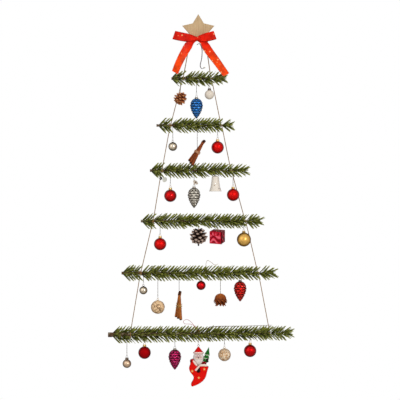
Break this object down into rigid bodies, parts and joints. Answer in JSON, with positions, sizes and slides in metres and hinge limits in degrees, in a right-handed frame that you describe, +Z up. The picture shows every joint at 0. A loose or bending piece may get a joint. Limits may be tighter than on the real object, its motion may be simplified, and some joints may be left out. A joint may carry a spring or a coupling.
{
  "type": "wall christmas tree",
  "caption": "Flat wall christmas tree: fir branches tied to two jute cords below a wooden star and a red ribbon bow, hung with baubles, cones, cinnamon, a bell, a gift and a figure.",
  "frame": {"origin": "top of the nail, where the hanging cord lies over it behind the star", "axes": "+Z up the tree, +Y to the wall, -Y to the viewer, +X to the viewer's right"},
  "size_m": [0.5082, 0.0632, 1.0224],
  "materials": {
    "star_wood": "sanded plywood, pale",
    "ribbon": "sheer red satin ribbon with gold glints",
    "jute": "twisted jute twine",
    "dark_string": "thin dark string",
    "fir": "dark green fir needles on a brown twig",
    "gold_thread": "metallic gold thread",
    "figure_cord": "red and white twisted cord",
    "pine_cone": "brown pine cone scales",
    "blue_glitter": "blue glitter over plastic",
    "cream": "cream satin ball",
    "hanger_gold": "thin pressed brass cap and wire eye",
    "silver": "mirror silver coating",
    "cinnamon": "rolled cinnamon bark",
    "red_satin": "red satin coating",
    "silver_glitter": "silver glitter over plastic",
    "white_ceramic": "white glaze",
    "frosted_cone": "dark pine cone scales with frosted tips",
    "red_foil": "embossed crimson foil",
    "gold": "satin gold coating",
    "gold_curl": "gold curls on a beige ball",
    "red_gloss": "dark red gloss",
    "seed_pod": "dry seed pod",
    "red_glitter": "crimson glitter over plastic",
    "champagne": "champagne satin coating",
    "magenta_glitter": "magenta glitter over plastic",
    "figure": "painted clay figure",
    "gold_glitter": "pale gold glitter"
  },
  "bodies": {
    "top": {"star": "star_wood", "ribbon_bow": "ribbon", "hanging_cord": "jute", "centre_string": "dark_string", "branch_1": "fir"},
    "tier_2": {"side_cord_left_2": "jute", "side_cord_right_2": "jute", "branch_2": "fir"},
    "tier_3": {"side_cord_left_3": "jute", "side_cord_right_3": "jute", "branch_3": "fir"},
    "tier_4": {"side_cord_left_4": "jute", "side_cord_right_4": "jute", "branch_4": "fir"},
    "tier_5": {"side_cord_left_5": "jute", "side_cord_right_5": "jute", "branch_5": "fir", "gold_thread_curl": "gold_thread"},
    "tier_6": {"side_cord_left_6": "jute", "side_cord_right_6": "jute", "branch_6": "fir", "figure_cord_loop": "figure_cord"},
    "brown_pine_cone": {"brown_pine_cone": "pine_cone"},
    "blue_glitter_cone": {"blue_glitter_cone": "blue_glitter"},
    "cream_ball": {"cream_ball": "cream", "cream_ball_hanger": "hanger_gold"},
    "silver_ball_upper": {"silver_ball_upper": "silver"},
    "cinnamon_upper": {"cinnamon_upper": "cinnamon", "cinnamon_upper_tie": "jute"},
    "red_ball_1": {"red_ball_1": "red_satin", "red_ball_1_hanger": "hanger_gold"},
    "red_ball_2": {"red_ball_2": "red_satin", "red_ball_2_hanger": "hanger_gold"},
    "silver_cone": {"silver_cone": "silver_glitter"},
    "white_bell": {"white_bell": "white_ceramic"},
    "red_ball_3": {"red_ball_3": "red_satin", "red_ball_3_hanger": "hanger_gold"},
    "red_ball_4": {"red_ball_4": "red_satin", "red_ball_4_hanger": "hanger_gold"},
    "frosted_pine_cone": {"frosted_pine_cone": "frosted_cone"},
    "red_gift": {"red_gift": "red_foil"},
    "gold_ball": {"gold_ball": "gold", "gold_ball_hanger": "hanger_gold"},
    "silver_ball_lower": {"silver_ball_lower": "silver"},
    "gold_curl_ball": {"gold_curl_ball": "gold_curl"},
    "cinnamon_lower": {"cinnamon_lower": "cinnamon", "cinnamon_lower_tie": "jute"},
    "small_red_ball": {"small_red_ball": "red_gloss"},
    "seed_pod": {"seed_pod": "seed_pod"},
    "red_glitter_cone": {"red_glitter_cone": "red_glitter"},
    "champagne_ball": {"champagne_ball": "champagne", "champagne_ball_hanger": "hanger_gold"},
    "red_ball_5": {"red_ball_5": "red_satin", "red_ball_5_hanger": "hanger_gold"},
    "magenta_glitter_cone": {"magenta_glitter_cone": "magenta_glitter"},
    "stocking_figure": {"stocking_figure": "figure"},
    "gold_glitter_ball": {"gold_glitter_ball": "gold_glitter"},
    "red_ball_6": {"red_ball_6": "red_satin", "red_ball_6_hanger": "hanger_gold"}
  },
  "joints": [
    {"name": "fold_2", "type": "hinge", "parent": "top", "child": "tier_2", "pos_m": [0, 0, -0.154], "axis": [1, 0, 0], "range_deg": [0, 45]},
    {"name": "fold_3", "type": "hinge", "parent": "tier_2", "child": "tier_3", "pos_m": [0, 0, -0.283], "axis": [1, 0, 0], "range_deg": [0, 45]},
    {"name": "fold_4", "type": "hinge", "parent": "tier_3", "child": "tier_4", "pos_m": [0, 0, -0.407], "axis": [1, 0, 0], "range_deg": [0, 45]},
    {"name": "fold_5", "type": "hinge", "parent": "tier_4", "child": "tier_5", "pos_m": [0, 0, -0.546], "axis": [1, 0, 0], "range_deg": [0, 45]},
    {"name": "fold_6", "type": "hinge", "parent": "tier_5", "child": "tier_6", "pos_m": [0, 0, -0.689], "axis": [1, 0, 0], "range_deg": [0, 45]},
    {"name": "swing_brown_pine_cone", "type": "hinge", "parent": "top", "child": "brown_pine_cone", "pos_m": [-0.04888, -0.00108, -0.15778], "axis": [0, 1, 0], "range_deg": [-20, 0]},
    {"name": "swing_blue_glitter_cone", "type": "hinge", "parent": "top", "child": "blue_glitter_cone", "pos_m": [-0.00493, 0, -0.15676], "axis": [0, 1, 0], "range_deg": [-12, 10]},
    {"name": "swing_cream_ball", "type": "hinge", "parent": "top", "child": "cream_ball", "pos_m": [0.0304, -0.00064, -0.15638], "axis": [0, 1, 0], "range_deg": [-8, 20]},
    {"name": "swing_silver_ball_upper", "type": "hinge", "parent": "tier_2", "child": "silver_ball_upper", "pos_m": [-0.07007, 0, -0.28637], "axis": [0, 1, 0], "range_deg": [-20, 3]},
    {"name": "swing_cinnamon_upper", "type": "hinge", "parent": "tier_2", "child": "cinnamon_upper", "pos_m": [-0.0028, 0, -0.28563], "axis": [0, 1, 0], "range_deg": [-4, 12]},
    {"name": "swing_red_ball_1", "type": "hinge", "parent": "tier_2", "child": "red_ball_1", "pos_m": [0.0531, 0, -0.28502], "axis": [0, 1, 0], "range_deg": [-3, 10]},
    {"name": "swing_red_ball_2", "type": "hinge", "parent": "tier_3", "child": "red_ball_2", "pos_m": [-0.07682, 0, -0.41053], "axis": [0, 1, 0], "range_deg": [-20, 12]},
    {"name": "swing_silver_cone", "type": "hinge", "parent": "tier_3", "child": "silver_cone", "pos_m": [-0.01158, 0, -0.40994], "axis": [0, 1, 0], "range_deg": [-15, 15]},
    {"name": "swing_white_bell", "type": "hinge", "parent": "tier_3", "child": "white_bell", "pos_m": [0.04689, 0, -0.40941], "axis": [0, 1, 0], "range_deg": [-20, 20]},
    {"name": "swing_red_ball_3", "type": "hinge", "parent": "tier_3", "child": "red_ball_3", "pos_m": [0.09539, -0.00046, -0.40917], "axis": [0, 1, 0], "range_deg": [-2, 12]},
    {"name": "swing_red_ball_4", "type": "hinge", "parent": "tier_4", "child": "red_ball_4", "pos_m": [-0.10493, 0, -0.54973], "axis": [0, 1, 0], "range_deg": [-20, 12]},
    {"name": "swing_frosted_pine_cone", "type": "hinge", "parent": "tier_4", "child": "frosted_pine_cone", "pos_m": [0.00049, 0, -0.54895], "axis": [0, 1, 0], "range_deg": [-8, 20]},
    {"name": "swing_red_gift", "type": "hinge", "parent": "tier_4", "child": "red_gift", "pos_m": [0.0522, 0, -0.54857], "axis": [0, 1, 0], "range_deg": [-12, 8]},
    {"name": "swing_gold_ball", "type": "hinge", "parent": "tier_4", "child": "gold_ball", "pos_m": [0.12474, -0.00082, -0.54813], "axis": [0, 1, 0], "range_deg": [-12, 20]},
    {"name": "swing_silver_ball_lower", "type": "hinge", "parent": "tier_5", "child": "silver_ball_lower", "pos_m": [-0.1506, -0.00066, -0.69368], "axis": [0, 1, 0], "range_deg": [-20, 6]},
    {"name": "swing_gold_curl_ball", "type": "hinge", "parent": "tier_5", "child": "gold_curl_ball", "pos_m": [-0.11124, 0, -0.69287], "axis": [0, 1, 0], "range_deg": [-18, 20]},
    {"name": "swing_cinnamon_lower", "type": "hinge", "parent": "tier_5", "child": "cinnamon_lower", "pos_m": [-0.05268, 0, -0.69247], "axis": [0, 1, 0], "range_deg": [-20, 15]},
    {"name": "swing_small_red_ball", "type": "hinge", "parent": "tier_5", "child": "small_red_ball", "pos_m": [0.00748, 0, -0.69206], "axis": [0, 1, 0], "range_deg": [-20, 20]},
    {"name": "swing_seed_pod", "type": "hinge", "parent": "tier_5", "child": "seed_pod", "pos_m": [0.06092, 0, -0.69169], "axis": [0, 1, 0], "range_deg": [-18, 20]},
    {"name": "swing_red_glitter_cone", "type": "hinge", "parent": "tier_5", "child": "red_glitter_cone", "pos_m": [0.115, 0, -0.69132], "axis": [0, 1, 0], "range_deg": [-20, 20]},
    {"name": "swing_champagne_ball", "type": "hinge", "parent": "tier_6", "child": "champagne_ball", "pos_m": [-0.19631, 0, -0.86409], "axis": [0, 1, 0], "range_deg": [-20, 20]},
    {"name": "swing_red_ball_5", "type": "hinge", "parent": "tier_6", "child": "red_ball_5", "pos_m": [-0.1478, 0, -0.86311], "axis": [0, 1, 0], "range_deg": [-20, 20]},
    {"name": "swing_magenta_glitter_cone", "type": "hinge", "parent": "tier_6", "child": "magenta_glitter_cone", "pos_m": [-0.06452, 0, -0.86142], "axis": [0, 1, 0], "range_deg": [-20, 20]},
    {"name": "swing_stocking_figure", "type": "hinge", "parent": "tier_6", "child": "stocking_figure", "pos_m": [0.00042, 0, -0.86011], "axis": [0, 1, 0], "range_deg": [-18, 15]},
    {"name": "swing_gold_glitter_ball", "type": "hinge", "parent": "tier_6", "child": "gold_glitter_ball", "pos_m": [0.07204, 0, -0.85866], "axis": [0, 1, 0], "range_deg": [-20, 20]},
    {"name": "swing_red_ball_6", "type": "hinge", "parent": "tier_6", "child": "red_ball_6", "pos_m": [0.14252, 0, -0.85723], "axis": [0, 1, 0], "range_deg": [-20, 20]}
  ]
}
